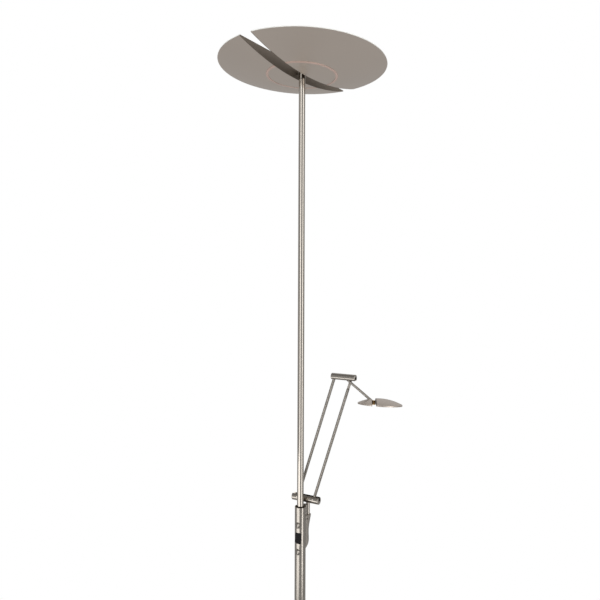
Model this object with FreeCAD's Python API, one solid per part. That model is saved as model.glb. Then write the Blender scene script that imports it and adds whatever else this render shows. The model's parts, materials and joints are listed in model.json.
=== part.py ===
import FreeCAD, Part
import math
import os

from FreeCAD import Placement, Rotation, Vector

# A floor lamp: a split uplighter dish on a thin pole, a thicker column below it with
# its controls, and a reading light on a twin-rod arm. Millimetres and degrees, +Z up.
# The origin is on the floor, at the centre of the base. The front is -Y.

# ---- stand ----
rim_height = 1882.0          # floor to the rim of the dish, on the pole's axis
column_height = 880.0        # floor to the mouth of the thick column
column_diameter = 25.0
column_wall = 1.5
pole_diameter = 15.0
pole_wall = 1.2
reducer_length = 25.0
reducer_sink = 4.0           # how far the reducer lies below the column's mouth
base_diameter = 290.0
base_height = 20.0
base_skin = 1.2
base_edge_radius = 5.0
base_skirt_gap = 1.5         # light gap between the skirt and the floor
felt_margin = 7.0            # felt's edge in from the edge of the cover
felt_height = 2.5
nipple_diameter = 10.0
nipple_bore = 6.5
nut_across_flats = 17.0
nut_thickness = 4.0
washer_diameter = 26.0
washer_thickness = 1.6
nut_well_diameter = 32.0
nut_well_depth = 8.0
cord_channel = 8.0
grommet_bore = 6.5
spigot_length = 40.0
foot_collar_diameter = 38.0
foot_collar_height = 9.0
foot_collar_chamfer = 3.0

# ---- controls in the column, one above the other ----
control_bearing = 245.0      # plan direction that the controls face
carrier_below_reducer = 1.5  # the carrier hangs just under the reducer
upper_button_drop = 8.5      # carrier's top to the upper button
rocker_drop = 29.0           # upper button to the rocker
lower_button_drop = 31.0     # rocker to the lower button
carrier_tail = 15.0          # lower button to the carrier's lower end
button_diameter = 13.6
button_gap = 0.3
button_travel = 1.2
button_dish_radius = 8.5     # ball that hollows the button's face
button_dish_depth = 3.2
button_base = 5.2            # column axis to the back of a button's head
button_stem_diameter = 5.0
switch_gap = 0.2             # left between a pressed button's stem and its switch
rocker_width = 14.0
rocker_length = 23.2
rocker_corner = 4.5
rocker_pivot = 6.0           # column axis to the rocker's pivot
rocker_back = 4.6
rocker_half_throw = 5.0
rocker_valley = 11.9         # column axis to the valley between its two facets
rocker_stub_diameter = 2.5
rocker_stub_length = 0.9
rocker_gap = 0.3
rocker_end_gap = 0.8         # more than at the sides, for the swing of its ends
carrier_floor = 2.6
carrier_floor_thickness = 1.4
carrier_fit = 0.1
board_thickness = 1.6
board_width = 18.0
board_face = -1.0
tact_size = 6.0
tact_height = 1.2
driver_width = 18.6
driver_depth = 10.0
driver_length = 120.0
driver_drop = 46.0           # carrier's lower end to the driver's top

# ---- holder of the reading arm, and the post that turns in it ----
post_offset = 21.8           # column axis to post axis
post_bearing = 36.6
post_diameter = 9.0
spindle_diameter = 5.0
spindle_length = 16.0
spindle_fit = 0.05
holder_drop = 22.0           # column's mouth to the top of the holder's socket
holder_cup_radius = 7.0
holder_cup_bore_depth = 3.0
holder_seat_gap = 0.3
spine_gap = 2.3              # between the spine's top and the lower bracket
spine_thickness = 4.2
spine_width = 9.0
# drop below the holder's top, and how far the spine's round nose stands from the column axis
holder_profile = ((0.0, 21.8), (6.0, 20.6), (14.5, 18.6), (24.0, 16.6), (42.0, 15.4), (67.0, 13.2))
holder_foot_drop = 76.5
grub_diameter = 4.0
grub_length = 5.0
grub_drop = 7.5
grub_offset = 14.6           # column axis to the screw's axis

# ---- reading arm ----
arm_bearing = -29.0          # plan direction of the arm's plane, pointing to the head
bracket_rise = 12.8          # column's mouth to the lower bracket's centre line
lower_bracket_diameter = 17.0
lower_bracket_length = 68.0
lower_bracket_shift = -5.0   # centre of the lower bracket from the post, along the arm
upper_bracket_diameter = 14.5
upper_bracket_length = 58.0
upper_bracket_shift = 2.0    # centre of the upper bracket from the middle of its pins
bracket_wall = 1.5
bracket_cap = 2.0
bracket_cap_plug = 2.5
bracket_cap_round = 0.8
rod_spacing = 40.8
rod_diameter = 6.5
rod_length = 296.0
rod_lean = 18.05             # from upright
rod_gap = 0.3
pin_diameter = 3.0
pin_fit = 0.05
lower_pin_lift = 2.5         # pins above the lower bracket's centre line
upper_pin_drop = 2.0         # pins below the upper bracket's centre line
rod_lap_length = 25.0        # half-lapped top of the right rod, where the head rod crosses it
head_rod_lap_length = 28.0
head_rod_pin_shift = 13.8    # right rod's upper pin to the head rod's pin, along the bracket
lap_gap = 0.15
head_rod_diameter = 5.5
head_rod_reach = 81.6        # from its pin to the knuckle's axis
head_rod_drop = 35.1         # below level
head_rod_stop = 3.05         # the bar ends this much short of the knuckle's axis

# ---- reading head ----
head_rim_radius = 48.0
head_depth = 11.0
head_skin = 1.0
head_lip = 2.5
head_slit_half = 4.5
head_slit_shift = 13.7       # rim centre from the middle of the slit
head_wall_thickness = 0.8
head_pin_diameter = 2.0
head_pin_drop = 0.9          # pin below the rim plane, inside the lip
head_knuckle_rise = 2.6      # where the rod's axis meets the knuckle's, above the pin
head_knuckle_diameter = 7.6
head_knuckle_top = 7.2
head_knuckle_bottom = 2.2
head_knuckle_round = 1.0
head_plate_depth = 4.6
head_plate_thickness = 1.2
head_lens_thickness = 2.0
head_led_count = 5
head_led_diameter = 3.5
head_led_height = 0.8
head_led_circle = 0.62       # share of the plate's radius
head_notch_gap = 0.5
head_notch_reach = 30.0      # along the rod, past where it leaves the dome
head_tilt_range = 20.0
head_nut_diameter = 4.8
head_nut_thickness = 2.0
head_yaw = -5.0
head_roll = 2.2
head_pitch = -6.5

# ---- uplighter dish ----
dish_rim_radius = 191.5
dish_depth = 30.0
dish_skin = 1.6
dish_slit_half = 14.9
dish_slit_bearing = 52.3
dish_tilt = 3.3              # as set in the lamp: the far end of the slit lies lower
dish_wall_thickness = 1.2
dish_wall_rise = 2.0
dish_pin_depth = 14.0
dish_plate_depth = 4.5
dish_plate_thickness = 1.5
dish_diffuser_inset = 0.8
dish_diffuser_thickness = 2.4
dish_led_count = 9
dish_led_diameter = 9.0
dish_led_height = 1.5
dish_led_circle = 0.7        # share of the plate's radius
dish_ring_radius = 79.0
dish_ring_width = 5.6
dish_ring_groove = 0.9
dish_ring_proud = 0.5
axle_diameter = 8.0
axle_fit = 0.05
spacer_diameter = 10.5
spacer_gap = 0.3
dish_nut_across_flats = 13.0
dish_nut_thickness = 5.0
axle_end = 1.5
pole_above_pin = 9.0
plug_length = 34.0
plug_cap = 1.5
edge_clearance = 0.1

# ---- derived places ----
column_radius = column_diameter / 2
column_bore_radius = column_radius - column_wall
pole_radius = pole_diameter / 2
base_radius = base_diameter / 2
dish_pin_height = rim_height - dish_pin_depth
pole_bottom = column_height - reducer_sink - reducer_length
button_stem_end = board_face + tact_height + button_travel + switch_gap
carrier_top = pole_bottom - carrier_below_reducer
upper_button_height = carrier_top - upper_button_drop
rocker_height = upper_button_height - rocker_drop
lower_button_height = rocker_height - lower_button_drop
carrier_bottom = lower_button_height - carrier_tail
driver_bottom = carrier_bottom - driver_drop - driver_length
holder_top = column_height - holder_drop
bracket_height = column_height + bracket_rise
spine_top = bracket_height - lower_bracket_diameter / 2 - spine_gap
post_x = post_offset * math.cos(math.radians(post_bearing))
post_y = post_offset * math.sin(math.radians(post_bearing))
lower_pin_z = bracket_height + lower_pin_lift
left_pin_x = lower_bracket_shift - rod_spacing / 2
right_pin_x = lower_bracket_shift + rod_spacing / 2
rod_run = rod_length * math.sin(math.radians(rod_lean))
rod_rise = rod_length * math.cos(math.radians(rod_lean))
upper_pin_z = lower_pin_z + rod_rise
upper_left_pin_x = left_pin_x + rod_run
upper_right_pin_x = right_pin_x + rod_run
upper_bracket_x = (upper_left_pin_x + upper_right_pin_x) / 2 + upper_bracket_shift
upper_bracket_z = upper_pin_z + upper_pin_drop
head_rod_pin_x = upper_right_pin_x - head_rod_pin_shift
knuckle_x = head_rod_pin_x + head_rod_reach * math.cos(math.radians(head_rod_drop))
knuckle_z = upper_pin_z - head_rod_reach * math.sin(math.radians(head_rod_drop))

X, Y, Z = Vector(1, 0, 0), Vector(0, 1, 0), Vector(0, 0, 1)
ORIGIN = Vector(0, 0, 0)

# The arm's frame: x along the arm, z up, origin under the post.
arm_frame = Placement(Vector(post_x, post_y, 0), Rotation(Z, arm_bearing))
# The controls' frame: x out of the column, z up.
control_frame = Placement(ORIGIN, Rotation(Z, control_bearing))
holder_frame = Placement(ORIGIN, Rotation(Z, post_bearing))
# The dish's frame: y along the slit, x across it, origin on the pin.
dish_frame = Placement(Vector(0, 0, dish_pin_height),
                       Rotation(Z, dish_slit_bearing - 90) * Rotation(X, -dish_tilt))
# The head's frame: y along its slit, x across it, origin on its pin, dome up.
head_turn = Rotation(Z, head_yaw) * Rotation(Y, head_roll) * Rotation(X, head_pitch)
knuckle_place = arm_frame.multVec(Vector(knuckle_x, 0, knuckle_z))
head_frame = Placement(knuckle_place - head_turn.multVec(Vector(0, 0, head_knuckle_rise)), head_turn)


# ---- helpers ----
def rod(radius, start, end):
    """Solid round bar between two points."""
    way = end - start
    return Part.makeCylinder(radius, way.Length, start, way)


def ring(outer, inner, bottom, top):
    """Upright ring on the Z axis."""
    body = Part.makeCylinder(outer, top - bottom, Vector(0, 0, bottom))
    return body.cut(Part.makeCylinder(inner, top - bottom, Vector(0, 0, bottom)))


def block(x0, x1, y0, y1, z0, z1):
    return Part.makeBox(x1 - x0, y1 - y0, z1 - z0, Vector(x0, y0, z0))


def hexagon(across_flats, thickness, start, direction):
    """Hexagonal prism that stands on start and points along direction."""
    radius = across_flats / math.sqrt(3)
    corners = [Vector(radius * math.cos(math.radians(60 * i)), radius * math.sin(math.radians(60 * i)), 0)
               for i in range(7)]
    prism = Part.Face(Part.makePolygon(corners)).extrude(Vector(0, 0, thickness))
    prism.Placement = Placement(start, Rotation(Z, direction))
    return prism


def revolved(points):
    """Turn a closed outline of (radius, height) points about the Z axis."""
    outline = Part.makePolygon([Vector(r, 0, z) for r, z in points + [points[0]]])
    return Part.Face(outline).revolve(ORIGIN, Z, 360)


def oblong(width, length, corner, x0, x1, centre_z):
    """Rounded rectangle in the controls' frame, from x0 out to x1."""
    body = block(x0, x1, -width / 2, width / 2, centre_z - length / 2, centre_z + length / 2)
    along_x = [edge for edge in body.Edges if abs(edge.tangentAt(edge.FirstParameter).x) > 0.9]
    return body.makeFillet(corner, along_x)


def group(solids):
    """Separate solids kept in one node."""
    return Part.makeCompound(solids)


def placed(shape, frame):
    """Copy of a shape that was built in a frame of its own, in the lamp's frame."""
    copy = shape.copy()
    copy.Placement = frame.multiply(copy.Placement)
    return copy


# ---- base ----
def base_felt():
    return Part.makeCylinder(base_radius - felt_margin, felt_height)


def base_weight():
    top = base_height - base_skin
    radius = base_radius - base_skin - edge_clearance
    shoulder = base_edge_radius
    body = revolved([(nipple_diameter / 2, felt_height), (radius, felt_height), (radius, top - shoulder),
                     (radius - shoulder, top), (nipple_diameter / 2, top)])
    well = Part.makeCylinder(nut_well_diameter / 2, nut_well_depth, Vector(0, 0, felt_height))
    channel = block(-cord_channel / 2, cord_channel / 2, 0, base_radius, felt_height, felt_height + cord_channel)
    return body.cut(well).cut(channel)


def base_cover():
    top, skirt, edge = base_height, base_skirt_gap, base_edge_radius
    bend = math.sqrt(0.5)

    def outline(radius, height, corner):
        centre_r, centre_z = radius - corner, height - corner
        return Part.Arc(Vector(radius, 0, centre_z), Vector(centre_r + corner * bend, 0, centre_z + corner * bend),
                        Vector(centre_r, 0, height))

    outer = outline(base_radius, top, edge)
    inner = outline(base_radius - base_skin, top - base_skin, edge - base_skin)
    hole = nipple_diameter / 2
    edges = [
        Part.LineSegment(Vector(base_radius, 0, skirt), Vector(base_radius, 0, top - edge)).toShape(),
        outer.toShape(),
        Part.LineSegment(Vector(base_radius - edge, 0, top), Vector(hole, 0, top)).toShape(),
        Part.LineSegment(Vector(hole, 0, top), Vector(hole, 0, top - base_skin)).toShape(),
        Part.LineSegment(Vector(hole, 0, top - base_skin), Vector(base_radius - edge, 0, top - base_skin)).toShape(),
        inner.toShape(),
        Part.LineSegment(Vector(base_radius - base_skin, 0, top - edge),
                         Vector(base_radius - base_skin, 0, skirt)).toShape(),
        Part.LineSegment(Vector(base_radius - base_skin, 0, skirt), Vector(base_radius, 0, skirt)).toShape(),
    ]
    shell = Part.Face(Part.Wire(edges)).revolve(ORIGIN, Z, 360)
    return shell.cut(grommet_hole())


def grommet_height():
    return felt_height + cord_channel / 2


def grommet_hole():
    return rod(cord_channel / 2, Vector(0, base_radius - 3 * base_skin, grommet_height()),
               Vector(0, base_radius + base_skin, grommet_height()))


def cord_grommet():
    """Rubber inlet at the back of the base, with a flange outside the skirt."""
    inside = Vector(0, base_radius - 8, grommet_height())
    outside = Vector(0, base_radius + 1.5, grommet_height())
    sleeve = rod(cord_channel / 2 - edge_clearance, inside, outside)
    flange = rod(cord_channel / 2 + 1.2, Vector(0, base_radius, grommet_height()), outside)
    skirt = Part.makeCylinder(base_radius, base_height)
    bore = rod(grommet_bore / 2, inside, outside)
    return sleeve.fuse(flange.cut(skirt)).cut(bore).removeSplitter()


def base_nipple():
    bottom = felt_height + nut_well_depth - washer_thickness - nut_thickness
    top = base_height + spigot_length / 2
    return ring(nipple_diameter / 2 - edge_clearance, nipple_bore / 2, bottom, top)


def base_washer():
    top = felt_height + nut_well_depth
    return ring(washer_diameter / 2, nipple_diameter / 2, top - washer_thickness, top)


def base_nut():
    bottom = felt_height + nut_well_depth - washer_thickness - nut_thickness
    nut = hexagon(nut_across_flats, nut_thickness, Vector(0, 0, bottom), Z)
    return nut.cut(Part.makeCylinder(nipple_diameter / 2, nut_thickness, Vector(0, 0, bottom)))


def column_spigot():
    """Turned plug that the nipple pulls down onto the base, inside the column."""
    outer = column_bore_radius - edge_clearance / 2
    body = ring(outer, nipple_diameter / 2, base_height, base_height + spigot_length)
    return body.makeChamfer(1.0, [edge for edge in body.Edges
                                  if edge.BoundBox.ZMin > base_height + spigot_length - 0.1
                                  and edge.BoundBox.XLength > column_bore_radius])


def foot_collar():
    outer, inner = foot_collar_diameter / 2, column_radius + edge_clearance
    top = base_height + foot_collar_height
    return revolved([(inner, base_height), (outer, base_height), (outer, top - foot_collar_chamfer),
                     (outer - foot_collar_chamfer, top), (inner, top)])


# ---- column and pole ----
def button_hole(height):
    hole = rod(button_diameter / 2 + button_gap, Vector(carrier_floor + carrier_floor_thickness, 0, height),
               Vector(column_diameter, 0, height))
    return hole


def rocker_window(depth):
    return oblong(rocker_width + 2 * rocker_gap, rocker_length + 2 * rocker_end_gap, rocker_corner - rocker_end_gap,
                  depth, column_diameter, rocker_height)


def column_tube():
    tube = ring(column_radius, column_bore_radius, base_height, column_height)
    for height in (upper_button_height, lower_button_height):
        tube = tube.cut(placed(button_hole(height), control_frame))
    tube = tube.cut(placed(rocker_window(0), control_frame))
    return tube


def column_reducer():
    """Sunk bush that centres the thin pole in the column's mouth."""
    bottom, top = pole_bottom, column_height - reducer_sink
    lip = 1.0
    return revolved([(pole_radius, bottom), (column_bore_radius, bottom), (column_bore_radius, top),
                     (pole_radius + 2 * lip, top), (pole_radius, top - lip)])


def pole_tube():
    tube = ring(pole_radius, pole_radius - pole_wall, pole_bottom, dish_pin_height + pole_above_pin)
    return tube.cut(axle_hole())


def axle_hole():
    """Running hole for the dish's axle, across the top of the pole."""
    reach = Vector(pole_diameter, 0, 0)
    return placed(rod(axle_diameter / 2 + axle_fit, reach * -1, reach), dish_frame)


def pole_plug():
    """Turned bearing plug in the pole's top, with a thin cap over the tube's end."""
    top = dish_pin_height + pole_above_pin
    plug = Part.makeCylinder(pole_radius - pole_wall, plug_length, Vector(0, 0, top - plug_length))
    cap = Part.makeCylinder(pole_radius, plug_cap, Vector(0, 0, top))
    rim = [edge for edge in cap.Edges if edge.BoundBox.ZMin > top + plug_cap / 2]
    return plug.fuse(cap.makeFillet(plug_cap * 0.6, rim)).cut(axle_hole()).removeSplitter()


# ---- controls, built in their own frame ----
def control_carrier():
    """Moulded insert in the column, with a bore for each button and a pocket for the rocker."""
    radius = column_bore_radius - carrier_fit
    body = Part.makeCylinder(radius, carrier_top - carrier_bottom, Vector(0, 0, carrier_bottom))
    body = body.cut(block(-column_diameter, board_face + board_thickness, -column_diameter, column_diameter,
                          carrier_bottom, carrier_top))
    floor = carrier_floor + carrier_floor_thickness
    for height in (upper_button_height, lower_button_height):
        body = body.cut(button_hole(height))
        body = body.cut(rod(button_stem_diameter / 2 + button_gap, Vector(0, 0, height), Vector(floor, 0, height)))
    body = body.cut(rocker_window(carrier_floor))
    reach = rocker_width / 2 + rocker_stub_length + rocker_gap
    stub_holes = rod(rocker_stub_diameter / 2 + pin_fit, Vector(rocker_pivot, -reach, rocker_height),
                     Vector(rocker_pivot, reach, rocker_height))
    back = block(board_face, board_face + board_thickness + edge_clearance, -board_width / 2, board_width / 2,
                 carrier_bottom, carrier_top)
    tacts = [block(board_face, carrier_floor, -tact_size / 2 - button_gap, tact_size / 2 + button_gap,
                   height - tact_size / 2 - button_gap, height + tact_size / 2 + button_gap)
             for height in (upper_button_height, lower_button_height)]
    body = body.cut(stub_holes).cut(back)
    for pocket in tacts:
        body = body.cut(pocket)
    return placed(body, control_frame)


def control_board():
    """Circuit board behind the controls, with a small switch under each button."""
    board = block(board_face - board_thickness, board_face, -board_width / 2, board_width / 2,
                  carrier_bottom + 2, carrier_top - 2)
    for height in (upper_button_height, lower_button_height):
        board = board.fuse(block(board_face, board_face + tact_height, -tact_size / 2, tact_size / 2,
                                 height - tact_size / 2, height + tact_size / 2))
    spacer = block(board_face, board_face + board_thickness, -2, 2, rocker_height - 4, rocker_height + 4)
    rim = [block(board_face, board_face + board_thickness, y - 0.8, y + 0.8, carrier_bottom + 4, carrier_top - 4)
           for y in (0.8 - board_width / 2, board_width / 2 - 0.8)]
    for piece in [spacer] + rim:
        board = board.fuse(piece)
    return placed(board.removeSplitter(), control_frame)


def button(height):
    """Metal push button, flush with the column, its face hollowed by a ball."""
    head = rod(button_diameter / 2, Vector(button_base, 0, height), Vector(column_diameter, 0, height))
    below = Vector(0, 0, height - 2 * button_diameter)
    head = head.common(Part.makeCylinder(column_radius, 4 * button_diameter, below))
    ball_x = column_radius - button_dish_depth + button_dish_radius
    head = head.cut(Part.makeSphere(button_dish_radius, Vector(ball_x, 0, height)))
    stem = rod(button_stem_diameter / 2, Vector(button_stem_end, 0, height), Vector(button_base, 0, height))
    return placed(head.fuse(stem).removeSplitter(), control_frame)


def rocker():
    """Black rocker with two facets, resting with its upper end pressed in."""
    rise = rocker_length * math.tan(math.radians(rocker_half_throw))
    reach = rocker_length
    facets = Part.makePolygon([
        Vector(rocker_back, 0, rocker_height - reach), Vector(rocker_valley + rise, 0, rocker_height - reach),
        Vector(rocker_valley, 0, rocker_height), Vector(rocker_valley + rise, 0, rocker_height + reach),
        Vector(rocker_back, 0, rocker_height + reach), Vector(rocker_back, 0, rocker_height - reach)])
    slab = Part.Face(facets).extrude(Vector(0, rocker_width, 0))
    slab.translate(Vector(0, -rocker_width / 2, 0))
    body = oblong(rocker_width, rocker_length, rocker_corner, rocker_back, column_diameter, rocker_height)
    body = body.common(slab)
    stub = rocker_width / 2 + rocker_stub_length
    body = body.fuse(rod(rocker_stub_diameter / 2, Vector(rocker_pivot, -stub, rocker_height),
                         Vector(rocker_pivot, stub, rocker_height)))
    body = body.removeSplitter()
    body.rotate(Vector(rocker_pivot, 0, rocker_height), Y, -rocker_half_throw)
    return placed(body, control_frame)


def led_driver():
    case = block(-driver_width / 2, driver_width / 2, -driver_depth / 2, driver_depth / 2, driver_bottom,
                 driver_bottom + driver_length)
    upright = [edge for edge in case.Edges if edge.BoundBox.ZLength > driver_length / 2]
    return case.makeFillet(0.5, upright)


# ---- holder and arm ----
def holder_section(drop, nose):
    """Tongue-shaped outline: flat at the column's axis, round at the outer end."""
    z, r = holder_top - drop, holder_cup_radius
    centre = nose
    start, end = Vector(0, -r, z), Vector(0, r, z)
    return Part.Wire([
        Part.LineSegment(start, Vector(centre, -r, z)).toShape(),
        Part.Arc(Vector(centre, -r, z), Vector(centre + r, 0, z), Vector(centre, r, z)).toShape(),
        Part.LineSegment(Vector(centre, r, z), end).toShape(),
        Part.LineSegment(end, start).toShape(),
    ])


def post_axis(bottom, top, radius):
    """Bar on the post's axis, in the holder's frame."""
    return rod(radius, Vector(post_offset, 0, bottom), Vector(post_offset, 0, top))


def arm_holder():
    """Cast buttress on the column, with the socket that the arm's post turns in."""
    sections = [holder_section(drop, nose) for drop, nose in holder_profile]
    body = Part.makeLoft(sections, True, False)
    last_drop, last_nose = holder_profile[-1]
    foot_nose = column_radius - holder_cup_radius
    foot = Part.makeLoft([holder_section(last_drop, last_nose), holder_section(holder_foot_drop, foot_nose)],
                         True, True)
    spine = block(0, column_radius + spine_thickness, -spine_width / 2, spine_width / 2,
                  holder_top - 5, spine_top)
    body = body.fuse(foot).fuse(spine)
    body = body.cut(post_axis(holder_top - holder_cup_bore_depth, spine_top, post_diameter / 2 + holder_seat_gap))
    body = body.cut(post_axis(holder_top - spindle_length - holder_seat_gap, holder_top,
                              spindle_diameter / 2 + spindle_fit))
    body = body.cut(Part.makeCylinder(column_radius, spine_top))
    body = body.cut(grub_hole())
    return placed(body.removeSplitter(), holder_frame)


def grub_line(length):
    """Bar from inside the holder outwards, square to the radius, towards the front."""
    z = holder_top - grub_drop
    start = Vector(grub_offset, -spindle_diameter / 2 - spindle_fit, z)
    return rod(grub_diameter / 2, start, start + Vector(0, -length, 0))


def grub_hole():
    return grub_line(holder_cup_radius)


def holder_grub_screw():
    screw = grub_line(grub_length - spindle_diameter / 2)
    socket_start = Vector(grub_offset, -grub_length - spindle_fit, holder_top - grub_drop)
    socket = hexagon(grub_diameter / 2, 1.5, socket_start, Y)
    return placed(screw.cut(socket), holder_frame)


def lower_tube_hole():
    return rod(post_diameter / 2, Vector(0, 0, holder_top), Vector(0, 0, bracket_height))


def arm_post():
    """Post with a thin spindle below and a plug end inside the lower bracket."""
    shoulder = holder_top - holder_cup_bore_depth + holder_seat_gap
    bottom = holder_top - spindle_length
    top = bracket_height - lower_bracket_diameter / 2 + bracket_wall + 2.0
    post = rod(post_diameter / 2, Vector(0, 0, shoulder), Vector(0, 0, top))
    spindle = rod(spindle_diameter / 2, Vector(0, 0, bottom), Vector(0, 0, shoulder))
    return placed(post.fuse(spindle).removeSplitter(), arm_frame)


def slotted_tube(diameter, length, centre_x, centre_z, side):
    """Bracket tube, slotted from end to end on the side that the rods enter."""
    radius = diameter / 2
    start = Vector(centre_x - length / 2 + bracket_cap, 0, centre_z)
    end = Vector(centre_x + length / 2 - bracket_cap, 0, centre_z)
    tube = rod(radius, start, end).cut(rod(radius - bracket_wall, start, end))
    slot = rod_diameter / 2 + rod_gap
    low, high = sorted((centre_z + side * radius * 0.3, centre_z + side * diameter))
    return tube.cut(block(start.x, end.x, -slot, slot, low, high))


def bracket_caps(diameter, length, centre_x, centre_z, side, pin_shift):
    """Round end caps, open where the rods pass at the ends of their travel."""
    radius = diameter / 2
    slot = rod_diameter / 2 + rod_gap
    caps = []
    for end in (-1, 1):
        outer = Vector(centre_x + end * length / 2, 0, centre_z)
        seat = outer - Vector(end * bracket_cap, 0, 0)
        disc = rod(radius, seat, outer)
        face = [edge for edge in disc.Edges if abs(edge.BoundBox.Center.x - outer.x) < 0.01
                and edge.BoundBox.XLength < 0.01]
        disc = disc.makeFillet(bracket_cap_round, face)
        plug = rod(radius - bracket_wall - edge_clearance / 2, seat - Vector(end * bracket_cap_plug, 0, 0), seat)
        near = centre_z + pin_shift - side * (rod_diameter / 2 + rod_gap)
        low, high = sorted((near, centre_z + side * diameter))
        slit = block(outer.x - length / 4, outer.x + length / 4, -slot, slot, low, high)
        caps.append(disc.fuse(plug).cut(slit).removeSplitter())
    return caps


def cross_pin(x, z, near, far):
    """Pin across the arm's plane, from near to far."""
    return rod(pin_diameter / 2, Vector(x, near, z), Vector(x, far, z))


def chord(diameter, offset):
    """Half the width of a round tube at a height off its centre."""
    return math.sqrt((diameter / 2) ** 2 - offset ** 2)


def lower_bracket():
    centre_x = lower_bracket_shift
    tube = slotted_tube(lower_bracket_diameter, lower_bracket_length, centre_x, bracket_height, 1)
    for x in (left_pin_x, right_pin_x):
        tube = tube.cut(cross_pin(x, lower_pin_z, -lower_bracket_diameter, lower_bracket_diameter))
    return placed(tube.cut(lower_tube_hole()), arm_frame)


def lower_bracket_caps():
    return group([placed(cap, arm_frame) for cap in
                  bracket_caps(lower_bracket_diameter, lower_bracket_length, lower_bracket_shift, bracket_height, 1,
                               lower_pin_lift)])


def lower_bracket_pins():
    reach = chord(lower_bracket_diameter, lower_pin_lift)
    return group([placed(cross_pin(x, lower_pin_z, -reach, reach), arm_frame) for x in (left_pin_x, right_pin_x)])


def upper_pins():
    """The left rod's pin goes right across. The right rod's enters from behind and the head rod's from in front."""
    reach = chord(upper_bracket_diameter, upper_pin_drop)
    return [cross_pin(upper_left_pin_x, upper_pin_z, -reach, reach),
            cross_pin(upper_right_pin_x, upper_pin_z, lap_gap, reach),
            cross_pin(head_rod_pin_x, upper_pin_z, -reach, -lap_gap)]


def upper_bracket():
    tube = slotted_tube(upper_bracket_diameter, upper_bracket_length, upper_bracket_x, upper_bracket_z, -1)
    for pin in upper_pins():
        tube = tube.cut(pin)
    return placed(tube, arm_frame)


def upper_bracket_caps():
    return group([placed(cap, arm_frame) for cap in
                  bracket_caps(upper_bracket_diameter, upper_bracket_length, upper_bracket_x, upper_bracket_z, -1,
                               -upper_pin_drop)])


def upper_bracket_pins():
    return group([placed(pin, arm_frame) for pin in upper_pins()])


def eye_bar(diameter, start, end, round_start=True, round_end=True):
    """Round bar whose ends are turned to a ball, in the arm's frame."""
    bar = rod(diameter / 2, start, end)
    for point, wanted in ((start, round_start), (end, round_end)):
        if wanted:
            bar = bar.fuse(Part.makeSphere(diameter / 2, point))
    return bar.removeSplitter()


def lap_cut(pin, towards, side, length):
    """Box that takes one half off a bar's end, so that two bars pass side by side."""
    way = towards - pin
    angle = math.degrees(math.atan2(way.z, way.x))
    low, high = sorted((side * -lap_gap, side * rod_diameter))
    box = block(-rod_diameter, length, low, high, -rod_diameter, rod_diameter)
    box.Placement = Placement(pin, Rotation(Y, -angle)).multiply(box.Placement)
    return box


def pin_hole(x, z):
    return rod(pin_diameter / 2 + pin_fit, Vector(x, -rod_diameter, z), Vector(x, rod_diameter, z))


def left_rod():
    start, end = Vector(left_pin_x, 0, lower_pin_z), Vector(upper_left_pin_x, 0, upper_pin_z)
    bar = eye_bar(rod_diameter, start, end)
    return placed(bar.cut(pin_hole(start.x, start.z)).cut(pin_hole(end.x, end.z)), arm_frame)


def right_rod():
    start, end = Vector(right_pin_x, 0, lower_pin_z), Vector(upper_right_pin_x, 0, upper_pin_z)
    bar = eye_bar(rod_diameter, start, end)
    bar = bar.cut(lap_cut(end, start, -1, rod_lap_length))
    return placed(bar.cut(pin_hole(start.x, start.z)).cut(pin_hole(end.x, end.z)), arm_frame)


def head_rod():
    start, knuckle = Vector(head_rod_pin_x, 0, upper_pin_z), Vector(knuckle_x, 0, knuckle_z)
    end = knuckle + (start - knuckle) * (head_rod_stop / head_rod_reach)
    bar = eye_bar(head_rod_diameter, start, end, True, False)
    bar = bar.cut(lap_cut(start, end, 1, head_rod_lap_length)).cut(pin_hole(start.x, start.z))
    return placed(bar, arm_frame)


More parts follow.
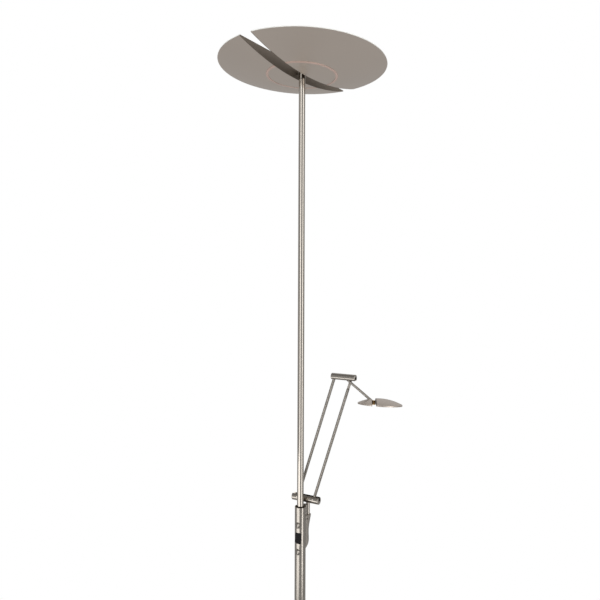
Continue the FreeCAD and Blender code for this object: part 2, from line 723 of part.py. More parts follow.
# ---- split bowls: the dish, and the head as its small copy turned over ----
class Bowl:
    """Shallow spun bowl, mouth up, rim centre at the origin, parted by a slit along Y."""

    def __init__(self, rim_radius, depth, skin, slit_x, slit_half, wall, rise, lip):
        self.rim_radius, self.depth, self.skin = rim_radius, depth, skin
        self.slit_x, self.slit_half, self.wall = slit_x, slit_half, wall
        self.rise, self.lip = rise, lip
        self.ball = (rim_radius ** 2 + depth ** 2) / (2 * depth)
        self.centre_z = self.ball - depth

    def radius_inside(self, below_rim):
        """Radius of the bowl's inner face at a depth below the rim."""
        return math.sqrt((self.ball - self.skin) ** 2 - (self.centre_z + below_rim) ** 2)

    def cap(self, offset):
        """Solid cap under the rim plane, bounded by the bowl's ball moved out by offset."""
        ball = self.ball + offset
        reach = math.sqrt(ball ** 2 - self.centre_z ** 2)
        low = Vector(0, 0, self.centre_z - ball)
        half = self.centre_z - math.sqrt(ball ** 2 - (reach / 2) ** 2)
        edges = [Part.Arc(low, Vector(reach / 2, 0, half), Vector(reach, 0, 0)).toShape(),
                 Part.LineSegment(Vector(reach, 0, 0), ORIGIN).toShape(),
                 Part.LineSegment(ORIGIN, low).toShape()]
        return Part.Face(Part.Wire(edges)).revolve(ORIGIN, Z, 360)

    def beyond(self, side, distance):
        """Block that holds what lies on one side of the slit, past a distance from its middle."""
        reach = 3 * self.rim_radius
        low, high = sorted((self.slit_x + side * distance, self.slit_x + side * reach))
        return block(low, high, -reach, reach, -reach, reach)

    def shell(self, side):
        body = self.cap(0).cut(self.cap(-self.skin))
        if self.lip:
            body = body.fuse(ring(self.rim_radius, self.rim_radius - self.skin, 0, self.lip))
        return body.common(self.beyond(side, self.slit_half + self.wall)).removeSplitter()

    def closing_wall(self, side, top_radius):
        """Flat wall along the cut, curved below as the bowl is, a little higher than the rim."""
        body = self.cap(0).fuse(Part.makeCylinder(top_radius, self.rise))
        body = body.common(self.beyond(side, self.slit_half))
        return body.cut(self.beyond(side, self.slit_half + self.wall)).removeSplitter()

    def half_disc(self, side, radius, bottom, top):
        disc = Part.makeCylinder(radius, top - bottom, Vector(0, 0, bottom))
        return disc.common(self.beyond(side, self.slit_half + self.wall))

    def led_plate(self, side, below_rim, thickness, count, led_radius, led_height, share):
        """Half-round heat plate that seats on the bowl, with its row of light chips."""
        radius = self.radius_inside(below_rim + thickness) - edge_clearance
        plate = self.half_disc(side, radius, -below_rim - thickness, -below_rim)
        for i in range(count):
            angle = math.radians(-75 + 150 * i / (count - 1))
            place = Vector(side * math.cos(angle), math.sin(angle), 0) * (radius * share)
            chip = Part.makeCylinder(led_radius, led_height, place - Vector(0, 0, below_rim))
            inner = self.slit_x + side * (self.slit_half + self.wall + led_radius)
            if side * (place.x - inner) > 0:
                plate = plate.fuse(chip)
        return plate


dish = Bowl(dish_rim_radius, dish_depth, dish_skin, 0.0, dish_slit_half, dish_wall_thickness, dish_wall_rise, 0.0)
dish_diffuser_radius = dish_rim_radius - dish_diffuser_inset
# The dish's bowl frame has its origin in the rim plane, above the pin.
dish_bowl_frame = dish_frame.multiply(Placement(Vector(0, 0, dish_pin_depth), Rotation()))


def dish_axle_bar(radius, reach):
    return rod(radius, Vector(-reach, 0, -dish_pin_depth), Vector(reach, 0, -dish_pin_depth))


def dish_ring_zone(inner, outer):
    """Upright sleeve through the bowl that bounds the trim ring."""
    return ring(outer, inner, -2 * dish_depth, 0)


def dish_shell(side):
    groove = dish.cap(1.0).cut(dish.cap(-dish_ring_groove))
    groove = groove.common(dish_ring_zone(dish_ring_radius - dish_ring_width / 2,
                                          dish_ring_radius + dish_ring_width / 2))
    return placed(dish.shell(side).cut(groove), dish_bowl_frame)


def dish_ring(side):
    """Tinted trim ring let into the underside, concentric with the pole."""
    half = dish_ring_width / 2 - edge_clearance
    body = dish.cap(dish_ring_proud).cut(dish.cap(-dish_ring_groove))
    body = body.common(dish_ring_zone(dish_ring_radius - half, dish_ring_radius + half))
    return placed(body.common(dish.beyond(side, dish.slit_half + dish.wall)), dish_bowl_frame)


def dish_wall(side):
    wall = dish.closing_wall(side, dish_diffuser_radius)
    return placed(wall.cut(dish_axle_bar(axle_diameter / 2, dish_rim_radius)), dish_bowl_frame)


def dish_plate(side):
    plate = dish.led_plate(side, dish_plate_depth, dish_plate_thickness, dish_led_count, dish_led_diameter / 2,
                           dish_led_height, dish_led_circle)
    return placed(plate, dish_bowl_frame)


def dish_diffuser(side):
    return placed(dish.half_disc(side, dish_diffuser_radius, 0, dish_diffuser_thickness), dish_bowl_frame)


def dish_axle_reach():
    return dish.slit_half + dish.wall + dish_nut_thickness + axle_end


def dish_axle():
    return placed(dish_axle_bar(axle_diameter / 2, dish_axle_reach()), dish_bowl_frame)


def dish_spacers():
    """Friction sleeves on the axle, one each side of the pole."""
    sleeves = []
    for side in (-1, 1):
        start = Vector(side * (pole_radius + spacer_gap), 0, -dish_pin_depth)
        end = Vector(side * dish.slit_half, 0, -dish_pin_depth)
        sleeve = rod(spacer_diameter / 2, start, end).cut(rod(axle_diameter / 2, start, end))
        sleeves.append(placed(sleeve, dish_bowl_frame))
    return group(sleeves)


def dish_nuts():
    nuts = []
    for side in (-1, 1):
        seat = Vector(side * (dish.slit_half + dish.wall), 0, -dish_pin_depth)
        nut = hexagon(dish_nut_across_flats, dish_nut_thickness, seat, X * side)
        nuts.append(placed(nut.cut(dish_axle_bar(axle_diameter / 2, dish_rim_radius)), dish_bowl_frame))
    return group(nuts)


# In its bowl frame the head lies mouth up; turning it over about Y puts its dome up.
head = Bowl(head_rim_radius, head_depth, head_skin, head_slit_shift, head_slit_half, head_wall_thickness,
            head_lip, head_lip)
head_bowl_frame = head_frame.multiply(Placement(
    Vector(head_slit_shift, 0, head_pin_drop), Rotation(Y, 180)))


def head_axle_bar(radius, reach):
    """Bar on the head's pin axis, in the head's frame."""
    return rod(radius, Vector(-reach, 0, 0), Vector(reach, 0, 0))


def head_in_frame(side, shape):
    """Move a bowl piece of the head from its bowl frame to the head's frame."""
    return placed(shape, head_frame.inverse().multiply(head_bowl_frame))


def rod_notch():
    """Room in the left half for the head rod, open above, swept through the head's tilt."""
    arm_way = Vector(-math.cos(math.radians(head_rod_drop)), 0, math.sin(math.radians(head_rod_drop)))
    way = head_turn.inverted().multVec(arm_frame.Rotation.multVec(arm_way))
    radius = head_rod_diameter / 2 + head_notch_gap
    slope = math.hypot(way.y, way.z) / abs(way.x)
    lean = math.degrees(math.atan2(way.y, way.z))
    start_x = -(head_knuckle_diameter / 2)
    end_x = -head_notch_reach * abs(way.x)

    def lower(x):
        return head_knuckle_rise * math.cos(math.radians(lean)) + slope * abs(x) - radius / abs(way.x)

    outline = Part.makePolygon([
        Vector(start_x, 0, lower(start_x)), Vector(end_x, 0, lower(end_x)), Vector(end_x, 0, head_notch_reach),
        Vector(start_x, 0, head_notch_reach), Vector(start_x, 0, lower(start_x))])
    face = Part.Face(outline)
    face.rotate(ORIGIN, X, head_tilt_range - lean)
    room = face.revolve(ORIGIN, X, -2 * head_tilt_range)

    channel = block(0, head_notch_reach, -radius, radius, 0, head_notch_reach)
    channel = channel.fuse(Part.makeCylinder(radius, head_notch_reach, ORIGIN, X))
    channel.Placement = Placement(Vector(0, 0, head_knuckle_rise),
                                  Rotation(way, Vector(), Vector(0, way.y, way.z), "XZY"))
    for turn in (-head_tilt_range, head_tilt_range):
        end = channel.copy()
        end.rotate(ORIGIN, X, turn)
        room = room.fuse(end)
    return room


def head_side(side):
    """Turning the bowl over swaps its sides."""
    return -side


def head_shell(side):
    shape = head_in_frame(side, head.shell(head_side(side)))
    if side < 0:
        shape = shape.cut(rod_notch())
    return placed(shape, head_frame)


def head_wall(side):
    shape = head_in_frame(side, head.closing_wall(head_side(side), head_rim_radius))
    if side < 0:
        shape = shape.cut(rod_notch())
    return placed(shape.cut(head_axle_bar(head_pin_diameter / 2, head_rim_radius)), head_frame)


def head_plate(side):
    plate = head.led_plate(head_side(side), head_plate_depth, head_plate_thickness, head_led_count,
                           head_led_diameter / 2, head_led_height, head_led_circle)
    shape = head_in_frame(side, plate)
    if side < 0:
        shape = shape.cut(rod_notch())
    return placed(shape, head_frame)


def head_lens(side):
    lens = head.half_disc(head_side(side), head_rim_radius - head_skin - edge_clearance, 0, head_lens_thickness)
    room = head_nut_diameter / 2 + rod_gap
    reach = head_slit_half + head_wall_thickness + head_nut_thickness + 2 * rod_gap
    shape = head_in_frame(side, lens)
    return placed(shape.cut(block(-reach, reach, -room, room, -room, room)), head_frame)


def head_knuckle():
    """Brass stem in the slit: the rod screws in above, the pin passes below."""
    stem = Part.makeCylinder(head_knuckle_diameter / 2, head_knuckle_top + head_knuckle_bottom,
                             Vector(0, 0, -head_knuckle_bottom))
    ends = [edge for edge in stem.Edges if edge.BoundBox.ZLength < 0.01]
    stem = stem.makeFillet(head_knuckle_round, ends)
    stem = stem.cut(head_axle_bar(head_pin_diameter / 2 + pin_fit, head_knuckle_diameter))
    return placed(stem, head_frame).cut(head_rod())


def head_axle():
    reach = head_slit_half + head_wall_thickness + head_nut_thickness + 0.5
    return placed(head_axle_bar(head_pin_diameter / 2, reach), head_frame)


def head_nuts():
    nuts = []
    for side in (-1, 1):
        seat = Vector(side * (head_slit_half + head_wall_thickness), 0, 0)
        nut = rod(head_nut_diameter / 2, seat, seat + X * (side * head_nut_thickness))
        nuts.append(placed(nut.cut(head_axle_bar(head_pin_diameter / 2, head_rim_radius)), head_frame))
    return group(nuts)


# ---- every node of the lamp ----
SIDES = (("left", -1), ("right", 1))

nodes = {
    "base_felt": base_felt(),
    "base_weight": base_weight(),
    "base_cover": base_cover(),
    "cord_grommet": cord_grommet(),
    "base_nipple": base_nipple(),
    "base_washer": base_washer(),
    "base_nut": base_nut(),
    "column_spigot": column_spigot(),
    "foot_collar": foot_collar(),
    "column_tube": column_tube(),
    "column_reducer": column_reducer(),
    "pole_tube": pole_tube(),
    "pole_plug": pole_plug(),
    "control_carrier": control_carrier(),
    "control_board": control_board(),
    "upper_button": button(upper_button_height),
    "lower_button": button(lower_button_height),
    "rocker_switch": rocker(),
    "led_driver": led_driver(),
    "arm_holder": arm_holder(),
    "holder_grub_screw": holder_grub_screw(),
    "arm_post": arm_post(),
    "lower_bracket": lower_bracket(),
    "lower_bracket_caps": lower_bracket_caps(),
    "lower_bracket_pins": lower_bracket_pins(),
    "left_rod": left_rod(),
    "right_rod": right_rod(),
    "upper_bracket": upper_bracket(),
    "upper_bracket_caps": upper_bracket_caps(),
    "upper_bracket_pins": upper_bracket_pins(),
    "head_rod": head_rod(),
    "head_knuckle": head_knuckle(),
    "head_axle": head_axle(),
    "head_nuts": head_nuts(),
    "dish_axle": dish_axle(),
    "dish_spacers": dish_spacers(),
    "dish_nuts": dish_nuts(),
}
for name, side in SIDES:
    nodes["head_shell_" + name] = head_shell(side)
    nodes["head_wall_" + name] = head_wall(side)
    nodes["head_plate_" + name] = head_plate(side)
    nodes["head_lens_" + name] = head_lens(side)
    nodes["dish_shell_" + name] = dish_shell(side)
    nodes["dish_wall_" + name] = dish_wall(side)
    nodes["dish_plate_" + name] = dish_plate(side)
    nodes["dish_diffuser_" + name] = dish_diffuser(side)
    nodes["dish_ring_" + name] = dish_ring(side)

os.makedirs("parts", exist_ok=True)
for name, shape in nodes.items():
    shape.exportStep("parts/" + name + ".step")
    print(name, len(shape.Solids), shape.isValid(), round(shape.Volume, 1))
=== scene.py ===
import json
import math
import bpy
from mathutils import Euler, Matrix, Vector

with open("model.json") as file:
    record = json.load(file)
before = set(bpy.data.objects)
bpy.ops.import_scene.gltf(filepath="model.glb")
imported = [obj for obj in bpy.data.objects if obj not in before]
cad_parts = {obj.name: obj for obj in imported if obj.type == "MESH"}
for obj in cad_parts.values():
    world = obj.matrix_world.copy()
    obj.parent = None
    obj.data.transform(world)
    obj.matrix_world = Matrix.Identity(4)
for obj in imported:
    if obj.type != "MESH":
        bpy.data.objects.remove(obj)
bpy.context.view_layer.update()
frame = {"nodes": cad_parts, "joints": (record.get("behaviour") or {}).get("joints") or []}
nodes = frame["nodes"]
print("frame loaded:", len(nodes), "nodes")


class Wire:  # a socket that takes part in sums
    def __init__(self, graph, socket):
        self.graph, self.socket = graph, socket

    def maths(self, operation, *others):
        return self.graph.add("ShaderNodeMath", {"operation": operation}, dict(enumerate((self, *others))))

    def __add__(self, other):
        return self.maths("ADD", other)

    __radd__ = __add__

    def __mul__(self, other):
        return self.maths("MULTIPLY", other)

    __rmul__ = __mul__

    def __sub__(self, other):
        return self.maths("SUBTRACT", other)

    def __rsub__(self, other):
        return self * -1 + other

    def __truediv__(self, other):
        return self.maths("DIVIDE", other)

    def __pow__(self, other):
        return self.maths("POWER", other)

    def clamp(self, low=0, high=1):
        return self.maths("MAXIMUM", low).maths("MINIMUM", high)


class Graph:  # the nodes of a material or of the world
    def __init__(self, tree):
        self.tree = tree

    def add(self, kind, settings, values, out=0):
        node = self.tree.nodes.new(kind)
        for key, value in settings.items():
            setattr(node, key, value)
        for key, value in values.items():
            self.join(node.inputs[key], value)
        return Wire(self, node.outputs[out])

    def join(self, socket, value):
        if isinstance(value, Wire):
            self.tree.links.new(value.socket, socket)
        elif socket.type == "RGBA" and len(value) == 3:
            socket.default_value = (*value, 1)
        else:
            socket.default_value = value

    def axes(self, vector, names):
        outputs = self.add("ShaderNodeSeparateXYZ", {}, {"Vector": vector}).socket.node.outputs
        return [Wire(self, outputs[name]) for name in names]

    def rays(self, *kinds):  # 1 for rays of the named kinds, else 0
        outputs = self.add("ShaderNodeLightPath", {}, {}).socket.node.outputs
        return sum(Wire(self, outputs["Is " + kind + " Ray"]) for kind in kinds)


class Finish(Graph):  # one material
    def __init__(self, name):
        self.material = bpy.data.materials.new(name)
        self.material.use_nodes = True
        super().__init__(self.material.node_tree)
        self.shader = self.tree.nodes["Principled BSDF"]
        self.output = self.tree.nodes["Material Output"]

    def set(self, **values):
        for key, value in values.items():
            self.join(self.shader.inputs[key.replace("_", " ")], value)

    def place(self, turn=(0, 0, 0), scale=(1, 1, 1), centre=(0, 0, 0)):
        coords = self.add("ShaderNodeTexCoord", {}, {}, "Object")
        moved = self.add("ShaderNodeMapping", {"vector_type": "TEXTURE"},
                         {"Vector": coords, "Location": centre, "Rotation": turn})
        return self.add("ShaderNodeMapping", {"vector_type": "POINT"}, {"Vector": moved, "Scale": scale})

    def noise(self, where, grain):  # grain is the noise's scale, detail and roughness
        values = dict(zip(("Scale", "Detail", "Roughness"), grain))
        return self.add("ShaderNodeTexNoise", {}, {"Vector": where, **values}, "Fac")

    def blend(self, share, first, second):
        return self.add("ShaderNodeMix", {"data_type": "RGBA"}, {"Factor": share, 6: first, 7: second}, 2)

    def relief(self, height, strength, distance):  # the last step, which gives the finished material
        values = {"Height": height, "Strength": strength, "Distance": distance}
        self.set(Normal=self.add("ShaderNodeBump", {}, values, "Normal"))
        return self.material


def tint(colour, share):
    return tuple(c * share for c in colour)


def spread(colour, share):  # the same colour a little darker and a little lighter
    return tint(colour, 1 - share), tint(colour, 1 + share)


nickel = {
    "colour": (0.335, 0.308, 0.275),
    "spread": 0.05,
    "lines": (2600, 3.0, 0.65),   # brushing lines across the grain
    "lineStretch": 0.012,         # the same noise along the grain
    "clouds": (9, 2.0, 0.5),
    "lineShare": 0.6,             # of the colour's change, the rest is the clouds'
    "lineGloss": 0.06,            # how much the lines change the roughness
    "cloudGloss": 0.04,
    "bump": (0.02, 0.00002),
}

nickelParts = {   # share of the nickel's colour, roughness
    "brushedUpright": (1.0, 0.21),
    "brushedPole": (1.30, 0.12),
    "brushedRods": (0.84, 0.45),
    "brushedBrackets": (1.12, 0.16),
    "brushedHeadRod": (0.78, 0.45),
    "brushedButton": (0.95, 0.21),
}


def brushedNickel(name, turn=(0, 0, 0)):
    # the grain runs along local Z
    share, roughness = nickelParts[name]
    metal = Finish(name)
    lines = metal.noise(metal.place(turn, (1, 1, nickel["lineStretch"])), nickel["lines"])
    clouds = metal.noise(metal.place(), nickel["clouds"])
    tone = lines * nickel["lineShare"] + clouds * (1 - nickel["lineShare"])
    gloss = (lines - 0.5) * nickel["lineGloss"] + (clouds - 0.5) * nickel["cloudGloss"]
    metal.set(Base_Color=metal.blend(tone, *spread(tint(nickel["colour"], share), nickel["spread"])),
              Metallic=1.0, Roughness=gloss + roughness)
    return metal.relief(lines, *nickel["bump"])


spinning = {
    "colour": (0.645, 0.567, 0.50),
    "spread": 0.08,
    "ringDetail": 3.0,
    "patches": (5, 2.0, 0.5),
    "ringShare": 0.4,
    "roughness": 0.42,
    "ringGloss": 0.10,
    "patchGloss": 0.06,
    "bump": (0.08, 0.00005),
}

spunParts = {   # share of the sheet's colour, scale of the fine rings that spinning leaves
    "spunDish": (1.0, 900),
    "spunHead": (0.82, 2400),
    "spunBase": (1.0, 900),
}


def spunNickel(name, centre=(0, 0, 0), turn=(0, 0, 0)):
    # the rings run about the bowl's own axis
    share, ringScale = spunParts[name]
    metal = Finish(name)
    where = metal.place(turn, centre=centre)
    x, y = metal.axes(where, "XY")
    radius = (x * x + y * y) ** 0.5
    rings = metal.add("ShaderNodeTexNoise", {"noise_dimensions": "1D"},
                      {"W": radius, "Scale": ringScale, "Detail": spinning["ringDetail"]}, "Fac")
    patches = metal.noise(where, spinning["patches"])
    tone = rings * spinning["ringShare"] + patches * (1 - spinning["ringShare"])
    gloss = (rings - 0.5) * spinning["ringGloss"] + (patches - 0.5) * spinning["patchGloss"]
    metal.set(Base_Color=metal.blend(tone, *spread(tint(spinning["colour"], share), spinning["spread"])),
              Metallic=1.0, Roughness=gloss + spinning["roughness"])
    return metal.relief(rings, *spinning["bump"])


# painted shade: the slit walls get a dark brown colour that stands in for the shade falling on them between
# the bowl halves
paintedShadeWall = {
    "dark": (0.185, 0.152, 0.122),
    "light": (0.232, 0.193, 0.158),
    "lines": (1800, 3.0, 0.6),
    "lineStretch": 0.02,
    "metallic": 0.85,
    "roughness": 0.36,
    "lineGloss": 0.12,
    "bump": (0.1, 0.00005),
}


# the dark and light tones below are painted shade on the slit walls, with random brushing lines
def paintedShadeWallSatin(name, turn):
    metal = Finish(name)
    lines = metal.noise(metal.place(turn, (paintedShadeWall["lineStretch"], 1, 1)), paintedShadeWall["lines"])
    metal.set(Base_Color=metal.blend(lines, paintedShadeWall["dark"], paintedShadeWall["light"]), Metallic=paintedShadeWall["metallic"],
              Roughness=lines * paintedShadeWall["lineGloss"] + paintedShadeWall["roughness"])
    return metal.relief(lines, *paintedShadeWall["bump"])


holderCasting = {
    "dark": 0.76,             # shares of the nickel's colour
    "light": 1.26,
    "streaks": (420, 3.0, 0.6),
    "streakStretch": 0.02,
    "streakContrast": 2.2,
    "streakCut": 0.6,
    "clouds": (60, 2.0, 0.5),
    "streakShare": 0.8,
    "roughness": 0.34,
    "streakGloss": 0.2,
    "bump": (0.08, 0.00006),
}


def castNickel():
    # the arm's holder, ground lengthwise before it was plated
    look = holderCasting
    metal = Finish("castNickel")
    streaks = metal.noise(metal.place(scale=(1, 1, look["streakStretch"])), look["streaks"])
    clouds = metal.noise(metal.place(), look["clouds"])
    sharp = (streaks * look["streakContrast"] - look["streakCut"]).clamp()
    tone = sharp * look["streakShare"] + clouds * (1 - look["streakShare"])
    dark, light = (tint(nickel["colour"], look[end]) for end in ("dark", "light"))
    metal.set(Base_Color=metal.blend(tone, dark, light), Metallic=1.0,
              Roughness=(streaks - 0.5) * look["streakGloss"] + look["roughness"])
    return metal.relief(streaks, *look["bump"])


zinc = {
    "spangles": 700.0,
    "dark": (0.42, 0.43, 0.44),
    "light": (0.55, 0.55, 0.54),
    "roughness": 0.3,
    "spangleGloss": 0.15,
    "bump": (0.05, 0.00005),
}


def zincSteel():
    metal = Finish("zincSteel")
    spangle = metal.add("ShaderNodeTexVoronoi", {},
                        {"Vector": metal.place(), "Scale": zinc["spangles"]}, "Color")
    grey = metal.add("ShaderNodeRGBToBW", {}, {"Color": spangle})
    metal.set(Base_Color=metal.blend(grey, zinc["dark"], zinc["light"]), Metallic=1.0,
              Roughness=grey * zinc["spangleGloss"] + zinc["roughness"])
    return metal.relief(grey, *zinc["bump"])


boardLook = {
    "fields": {"Color1": (0.02, 0.13, 0.05), "Color2": (0.015, 0.11, 0.04)},
    "tracks": {"Mortar": (0.05, 0.22, 0.09), "Mortar Size": 0.03, "Scale": 260.0},
    "rowOffset": 0.3,
    "roughness": 0.35,
}


def circuitBoard():
    # copper tracks that show through the green mask
    board = Finish("circuitBoard")
    values = {"Vector": board.place(), **boardLook["fields"], **boardLook["tracks"]}
    pattern = board.add("ShaderNodeTexBrick", {"offset": boardLook["rowOffset"]}, values, "Color")
    board.set(Base_Color=pattern, Roughness=boardLook["roughness"])
    return board.material


# finishes in which one grain sets the tone, the gloss and the relief together;
# gloss is the least roughness and how much the grain adds to it
grained = {
    "roseTrim": {"grain": (40, 3.0, 0.5), "dark": (0.50, 0.36, 0.305), "light": (0.56, 0.41, 0.35),
                 "gloss": (0.36, 0.1), "bump": (0.05, 0.0001), "shader": {"Metallic": 0.45}},
    "polishedNickel": {"grain": (220, 4.0, 0.6), "dark": (0.50, 0.47, 0.43), "light": (0.58, 0.55, 0.51),
                       "gloss": (0.12, 0.10), "bump": (0.03, 0.00005), "shader": {"Metallic": 1.0}},
    "turnedBrass": {"grain": (900, 3.0, 0.5), "dark": (0.42, 0.27, 0.12), "light": (0.60, 0.40, 0.18),
                    "gloss": (0.25, 0.15), "bump": (0.08, 0.00005), "shader": {"Metallic": 1.0},
                    "stretch": (1, 1, 6)},
    "blackMoulding": {"grain": (3200, 3.0, 0.6), "dark": (0.005, 0.0045, 0.005), "light": (0.01, 0.009, 0.01),
                      "gloss": (0.46, 0.2), "bump": (0.15, 0.00008), "shader": {"Specular_IOR_Level": 0.12}},
    "coatedPlate": {"grain": (1400, 3.0, 0.5), "dark": (0.74, 0.74, 0.72), "light": (0.80, 0.80, 0.78),
                    "gloss": (0.4, 0.15), "bump": (0.06, 0.00008), "shader": {"Metallic": 0.1}},
    "opalAcrylic": {"grain": (30, 3.0, 0.5), "dark": (0.70, 0.70, 0.67), "light": (0.74, 0.74, 0.71),
                    "gloss": (0.30, 0.1), "bump": (0.02, 0.0001), "shader": {"IOR": 1.49}},
    "rawCasting": {"grain": (500, 5.0, 0.7), "dark": (0.020, 0.020, 0.021), "light": (0.045, 0.044, 0.042),
                   "gloss": (0.62, 0.2), "bump": (0.4, 0.0004), "shader": {"Metallic": 0.3}},
    "blackFelt": {"grain": (1500, 6.0, 0.75), "dark": (0.010, 0.010, 0.011), "light": (0.035, 0.035, 0.036),
                  "gloss": (0.95, 0), "bump": (0.5, 0.0004), "shader": {"Sheen_Weight": 0.3}},
    "blackRubber": {"grain": (800, 3.0, 0.5), "dark": (0.012, 0.012, 0.012), "light": (0.024, 0.024, 0.023),
                    "gloss": (0.55, 0.15), "bump": (0.1, 0.0001), "shader": {}},
}


def grainedFinish(name):
    look = grained[name]
    finish = Finish(name)
    grain = finish.noise(finish.place(scale=look.get("stretch", (1, 1, 1))), look["grain"])
    roughness, change = look["gloss"]
    finish.set(Base_Color=finish.blend(grain, look["dark"], look["light"]),
               Roughness=grain * change + roughness if change else roughness, **look["shader"])
    return finish.relief(grain, *look["bump"])


# where the patterns run
def hinge(jointName):
    joint = next(j for j in frame["joints"] if j["name"] == jointName)
    return Vector(joint["axis"]), Vector(joint["pos_m"])


def turnFor(zAxis, xHint=(1, 0, 0)):
    # Euler angles that bring local Z onto zAxis
    z = Vector(zAxis).normalized()
    y = z.cross(Vector(xHint)).normalized()
    x = y.cross(z)
    rows = ((x.x, y.x, z.x), (x.y, y.y, z.y), (x.z, y.z, z.z))
    return tuple(Matrix(rows).to_euler())


def upOf(node, leastRise=0.8):
    # the way that a nearly level disc's upper face looks
    faces = [face for face in nodes[node].data.polygons if face.normal.z > leastRise]
    return sum((face.normal * face.area for face in faces), Vector()).normalized()


armNormal, leftLower = hinge("arm_lean")
leftUpper = hinge("bracket_level")[1]
headRodPin = hinge("head_rod_drop")[1]
dishAcross, dishPin = hinge("dish_tilt")
headAcross, headPin = hinge("head_tilt")
rodTurn = turnFor(leftUpper - leftLower)
armTurn = turnFor(armNormal.cross(Vector((0, 0, 1))), (0, 0, 1))
headRodTurn = turnFor(headPin - headRodPin)
dishUp = upOf("dish_diffuser_left")
headUp = upOf("head_lens_right")

wearing = [
    (brushedNickel("brushedUpright"), ["foot_collar", "column_tube", "column_reducer"]),
    (brushedNickel("brushedPole"), ["pole_tube", "pole_plug", "arm_post"]),
    (brushedNickel("brushedButton"), ["upper_button", "lower_button", "lower_bracket_pins",
                                      "upper_bracket_pins", "dish_spacers"]),
    (brushedNickel("brushedRods", rodTurn), ["left_rod", "right_rod"]),
    (brushedNickel("brushedBrackets", armTurn), ["lower_bracket", "lower_bracket_caps", "upper_bracket",
                                                 "upper_bracket_caps"]),
    (brushedNickel("brushedHeadRod", headRodTurn), ["head_rod"]),
    (castNickel(), ["arm_holder"]),
    (spunNickel("spunDish", dishPin, turnFor(dishUp)), ["dish_shell_left", "dish_shell_right"]),
    (spunNickel("spunHead", headPin, turnFor(headUp)), ["head_shell_left", "head_shell_right"]),
    (spunNickel("spunBase"), ["base_cover"]),
    # slit walls of dish and head: their dark colour is painted shade
    (paintedShadeWallSatin("paintedShadeWallSatin", turnFor(dishUp, dishAcross)), ["dish_wall_left", "dish_wall_right"]),
    (paintedShadeWallSatin("headPaintedShadeWall", turnFor(headUp, headAcross)), ["head_wall_left", "head_wall_right"]),
    (grainedFinish("roseTrim"), ["dish_ring_left", "dish_ring_right"]),
    (grainedFinish("polishedNickel"), ["head_axle", "holder_grub_screw"]),
    (grainedFinish("turnedBrass"), ["head_knuckle"]),
    (zincSteel(), ["base_nipple", "base_washer", "base_nut", "column_spigot", "dish_axle", "dish_nuts",
                   "head_nuts"]),
    (grainedFinish("blackMoulding"), ["control_carrier", "rocker_switch", "led_driver"]),
    (circuitBoard(), ["control_board"]),
    (grainedFinish("coatedPlate"), ["dish_plate_left", "dish_plate_right", "head_plate_left",
                                    "head_plate_right"]),
    (grainedFinish("opalAcrylic"), ["dish_diffuser_left", "dish_diffuser_right", "head_lens_left",
                                    "head_lens_right"]),
    (grainedFinish("rawCasting"), ["base_weight"]),
    (grainedFinish("blackFelt"), ["base_felt"]),
    (grainedFinish("blackRubber"), ["cord_grommet"]),
]

bare = set(nodes)
for material, wearers in wearing:
    for wearer in wearers:
        slots = nodes[wearer].material_slots
        for slot in slots:
            slot.material = material
        if not slots:
            nodes[wearer].data.materials.append(material)
    bare -= set(wearers)
print("finishes laid on; bare nodes:", sorted(bare))


# where the photograph was taken from, and how wide it looks
camera = {
    "place": (-0.0029, -1.376, 1.403),
    "focalPixels": 606.2,
    "imagePixels": 600,
    "horizonRow": 275.9,   # image row of eye level
    "roll": -0.235,        # degrees, the camera hung slightly askew
    "sensor": 36.0,
    "reach": 60,
}


def addCamera():
    data = bpy.data.cameras.new("photoView")
    data.sensor_width = camera["sensor"]
    data.lens = camera["focalPixels"] / camera["imagePixels"] * camera["sensor"]
    data.shift_y = (camera["horizonRow"] - camera["imagePixels"] / 2) / camera["imagePixels"]
    data.clip_end = camera["reach"]
    holder = bpy.data.objects.new("photoView", data)
    holder.location = camera["place"]
    holder.rotation_euler = Euler((math.radians(90), math.radians(camera["roll"]), 0))
    bpy.context.scene.collection.objects.link(holder)
    bpy.context.scene.camera = holder


# the studio round the lamp
studio = {
    "floorSize": 80.0,
    "floorColour": (0.93, 0.93, 0.92),
    "floorRoughness": 0.9,
    "floorGloss": 0.1,
    "shadowReach": (0.45, 1.15),   # metres from the lamp where the floor's shadow fades to plain white
    "shadowShare": 0.35,           # share of real shading under the lamp
    "skyLevel": 0.62,              # light that the surroundings give
    "mirrorLevel": 0.50,           # how bright the surroundings look in the metal
    "backdropLevel": 0.28,         # added behind the lamp, above eye level
    "backdropRise": (0.10, 0.40),  # sines of elevation between which it comes in
    "backdropTurn": 2,             # how fast it comes in from the sides
    "zenithFall": 0.26,            # how much darker the metal sees it overhead
    "zenithRise": (0.45, 0.85),
}


def addFloor():
    bpy.ops.mesh.primitive_plane_add(size=studio["floorSize"])
    floor = bpy.context.object
    floor.name = "studioFloor"
    paper = Finish("floorPaper")
    paper.set(Base_Color=studio["floorColour"], Roughness=studio["floorRoughness"],
              Specular_IOR_Level=studio["floorGloss"])
    seen, mirrored = paper.rays("Camera", "Transmission"), paper.rays("Glossy")
    glow = paper.add("ShaderNodeEmission", {}, {"Color": (1, 1, 1),
                                                "Strength": seen + mirrored * studio["mirrorLevel"]})
    near, far = studio["shadowReach"]
    away = paper.add("ShaderNodeVectorMath", {"operation": "LENGTH"}, {0: paper.place()}, "Value")
    plain = paper.add("ShaderNodeMapRange", {"interpolation_type": "SMOOTHSTEP"},
                      {"Value": away, "From Min": near, "From Max": far, "To Min": 1 - studio["shadowShare"]})
    mix = paper.add("ShaderNodeMixShader", {}, {0: (seen * plain + mirrored).clamp(),
                                                1: Wire(paper, paper.shader.outputs[0]), 2: glow})
    paper.join(paper.output.inputs["Surface"], mix)
    floor.data.materials.append(paper.material)


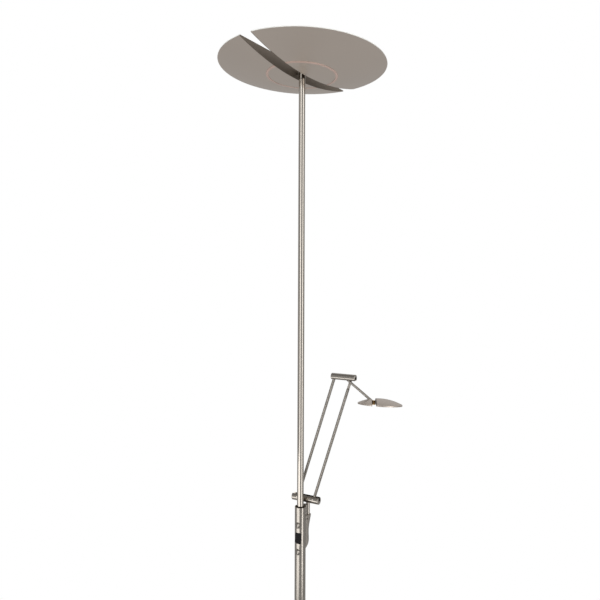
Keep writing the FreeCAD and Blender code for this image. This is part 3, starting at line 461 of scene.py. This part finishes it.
def addSky():
    world = bpy.data.worlds.new("studioSky")
    bpy.context.scene.world = world
    world.use_nodes = True
    sky = Graph(world.node_tree)
    behind, up = sky.axes(sky.add("ShaderNodeTexCoord", {}, {}, "Generated"), "YZ")

    def rise(low, high):
        return ((up - low) / (high - low)).clamp()

    back = (behind * studio["backdropTurn"]).clamp()
    backdrop = rise(*studio["backdropRise"]) * back * studio["backdropLevel"]
    overhead = rise(*studio["zenithRise"]) * studio["zenithFall"]
    plain = sky.rays("Camera", "Transmission") * (1 - studio["skyLevel"])
    mirrored = sky.rays("Glossy") * (backdrop - overhead + (studio["mirrorLevel"] - studio["skyLevel"]))
    background = sky.tree.nodes["Background"]
    background.inputs["Color"].default_value = (1, 1, 1, 1)
    sky.join(background.inputs["Strength"], plain + mirrored + studio["skyLevel"])


# bearing in degrees from the photograph's side, to the right; distance from the lamp and sizes in metres
softboxes = [
    {"name": "leftBox", "bearing": -30, "distance": 1.3, "height": 1.3, "size": (0.50, 2.55), "watts": 9.5},
    {"name": "lowBox", "bearing": -60, "distance": 1.15, "height": 0.34, "size": (0.72, 0.62), "watts": 2.8},
    {"name": "rightBox", "bearing": 48, "distance": 1.3, "height": 1.3, "size": (0.44, 2.55), "watts": 9.5},
    {"name": "topBox", "bearing": 20, "distance": 0.9, "height": 3.3, "size": (1.6, 1.6), "watts": 8},
]
aimLimit = 1.35   # no box looks at a higher point of the lamp


def addSoftbox(box):
    light = bpy.data.lights.new(box["name"], "AREA")
    light.shape, light.energy = "RECTANGLE", box["watts"]
    light.size, light.size_y = box["size"]
    holder = bpy.data.objects.new(box["name"], light)
    bearing, distance = math.radians(box["bearing"]), box["distance"]
    holder.location = (math.sin(bearing) * distance, -math.cos(bearing) * distance, box["height"])
    aim = Vector((0, 0, min(box["height"], aimLimit))) - holder.location
    holder.rotation_euler = aim.to_track_quat("-Z", "Y").to_euler()
    holder.visible_camera = False
    bpy.context.scene.collection.objects.link(holder)


addCamera()
addFloor()
addSky()
for softbox in softboxes:
    addSoftbox(softbox)
bpy.context.scene.view_settings.view_transform = "Standard"
print("camera, floor and lights set")
